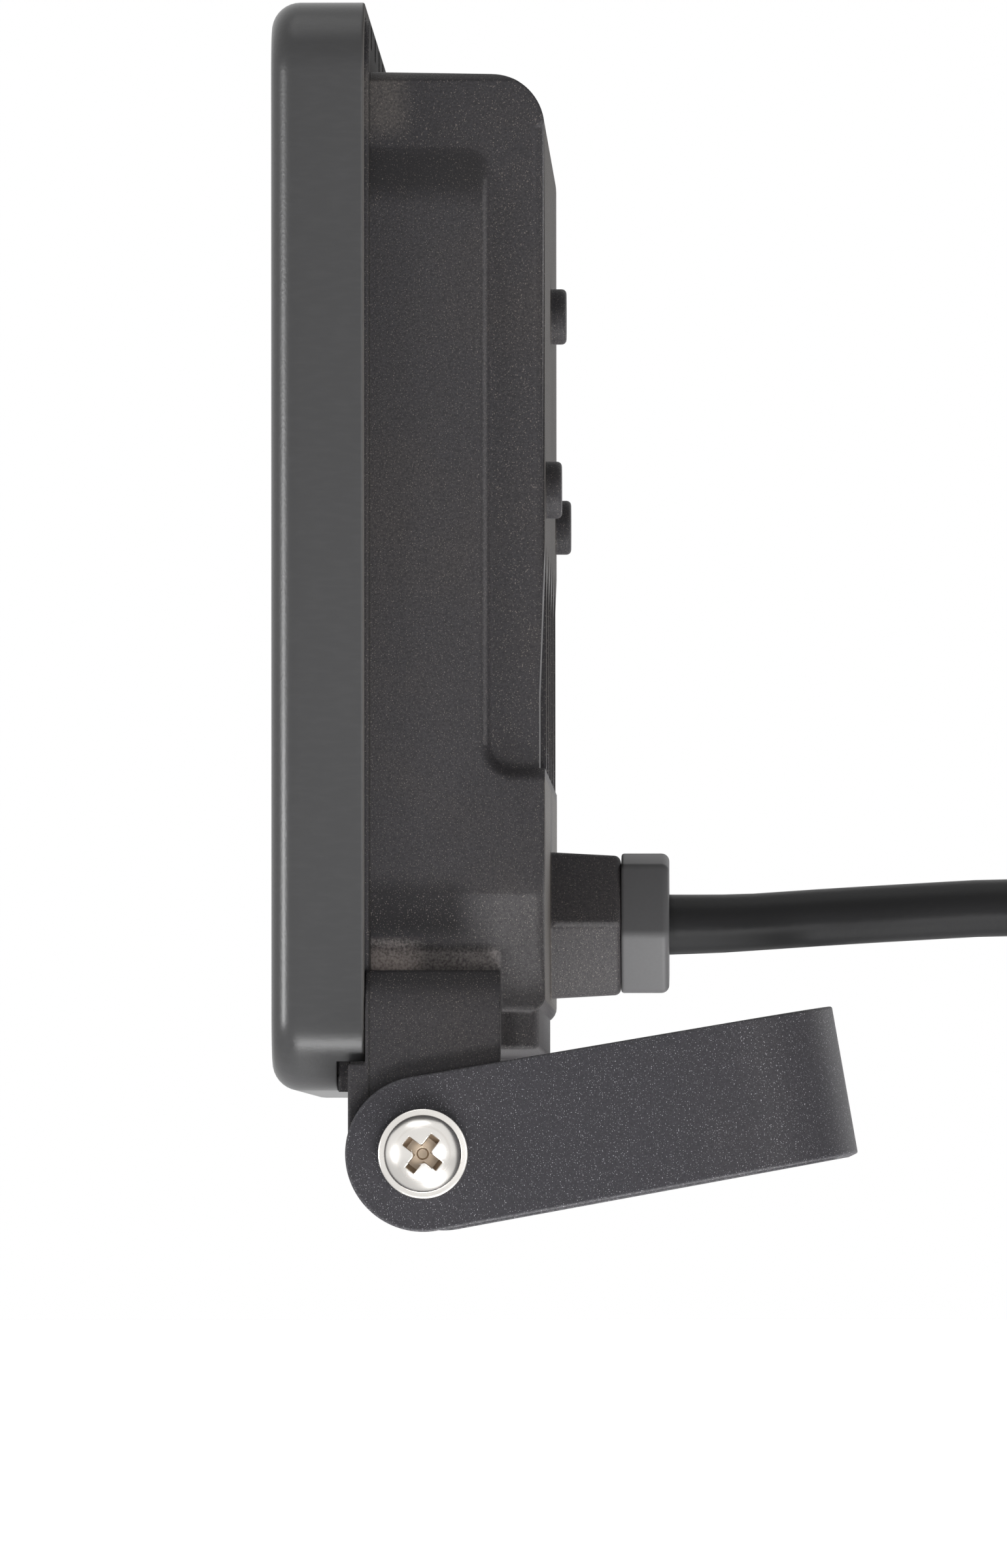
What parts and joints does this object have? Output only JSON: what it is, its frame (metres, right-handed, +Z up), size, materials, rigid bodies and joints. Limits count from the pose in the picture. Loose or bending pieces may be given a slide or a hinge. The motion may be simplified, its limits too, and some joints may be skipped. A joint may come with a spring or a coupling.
{
  "type": "led flood light",
  "caption": "Slim LED flood light with a framed glass front and a finned cast housing that tilts in a U-shaped wall bracket, with a round lead leaving a cable gland in its back.",
  "frame": {"origin": "middle of the bracket base's outer face, which goes against the wall", "axes": "+X to the viewer's side, along the tilt axis; +Y away from the glass; +Z up in the picture, along the housing's height"},
  "size_m": [0.175, 0.1433, 0.3316],
  "materials": {
    "frame_satin": "satin dark grey paint on a moulded frame with snap clips",
    "housing_coat": "die-cast aluminium under a dark pebbled powder coat",
    "bracket_coat": "steel strip under a charcoal powder coat",
    "nut_plastic": "smooth dark nylon",
    "lead_rubber": "matt black rubber sheath",
    "seal_rubber": "soft black seal",
    "clear_glass": "clear toughened glass",
    "silicone": "white silicone",
    "stainless": "bright stainless steel",
    "bright_aluminium": "bright pressed sheet",
    "plain_aluminium": "plain rolled sheet",
    "white_mask": "aluminium board under a white mask",
    "green_mask": "fibreglass board under a green mask",
    "phosphor": "yellow phosphor under clear resin",
    "black_moulding": "black moulded package",
    "capacitor_sleeve": "dark blue sleeve",
    "winding_tape": "yellow winding tape",
    "terminal_nylon": "white nylon",
    "core_brown": "brown core insulation",
    "core_blue": "blue core insulation",
    "core_green": "green and yellow core insulation",
    "core_red": "red lead insulation",
    "core_black": "black lead insulation",
    "tinned": "tinned copper or tinned brass"
  },
  "bodies": {
    "bracket": {"bracket": "bracket_coat"},
    "head": {"tilt_washer_right": "stainless", "tilt_washer_left": "stainless", "tilt_screw_right": "stainless", "tilt_screw_left": "stainless", "front_frame": "frame_satin", "front_glass": "clear_glass", "glass_gasket": "silicone", "reflector": "bright_aluminium", "housing": "housing_coat", "mounting_plate": "plain_aluminium", "led_board": "white_mask", "plate_screw_1": "stainless", "plate_screw_2": "stainless", "plate_screw_3": "stainless", "plate_screw_4": "stainless", "board_screw_1": "stainless", "board_screw_2": "stainless", "led_1": "phosphor", "led_2": "phosphor", "led_3": "phosphor", "led_4": "phosphor", "led_5": "phosphor", "led_6": "phosphor", "led_7": "phosphor", "led_8": "phosphor", "led_9": "phosphor", "led_10": "phosphor", "led_11": "phosphor", "led_12": "phosphor", "driver_board": "green_mask", "driver_screw_1": "stainless", "driver_screw_2": "stainless", "input_capacitor": "capacitor_sleeve", "output_capacitor": "capacitor_sleeve", "transformer": "winding_tape", "bridge_rectifier": "black_moulding", "driver_chip": "black_moulding", "choke": "winding_tape", "fuse": "tinned", "terminal_block": "terminal_nylon", "gland_nut": "nut_plastic", "gland_seal": "seal_rubber", "lead_in_gland": "lead_rubber", "earth_ring": "tinned", "earth_screw": "stainless", "inner_live": "core_brown", "inner_neutral": "core_blue", "inner_earth": "core_green", "link_live": "core_brown", "link_neutral": "core_blue", "feed_lead_plus": "core_red", "feed_lead_minus": "core_black", "supply_lead": "lead_rubber", "lead_core_live": "core_brown", "lead_core_neutral": "core_blue", "lead_core_earth": "core_green", "ferrule_live": "tinned", "ferrule_neutral": "tinned", "ferrule_earth": "tinned"}
  },
  "joints": [
    {"name": "head_tilt", "type": "hinge", "parent": "bracket", "child": "head", "pos_m": [0, -0.05141, -0.00906], "axis": [1, 0, 0], "range_deg": [0, 189]}
  ]
}
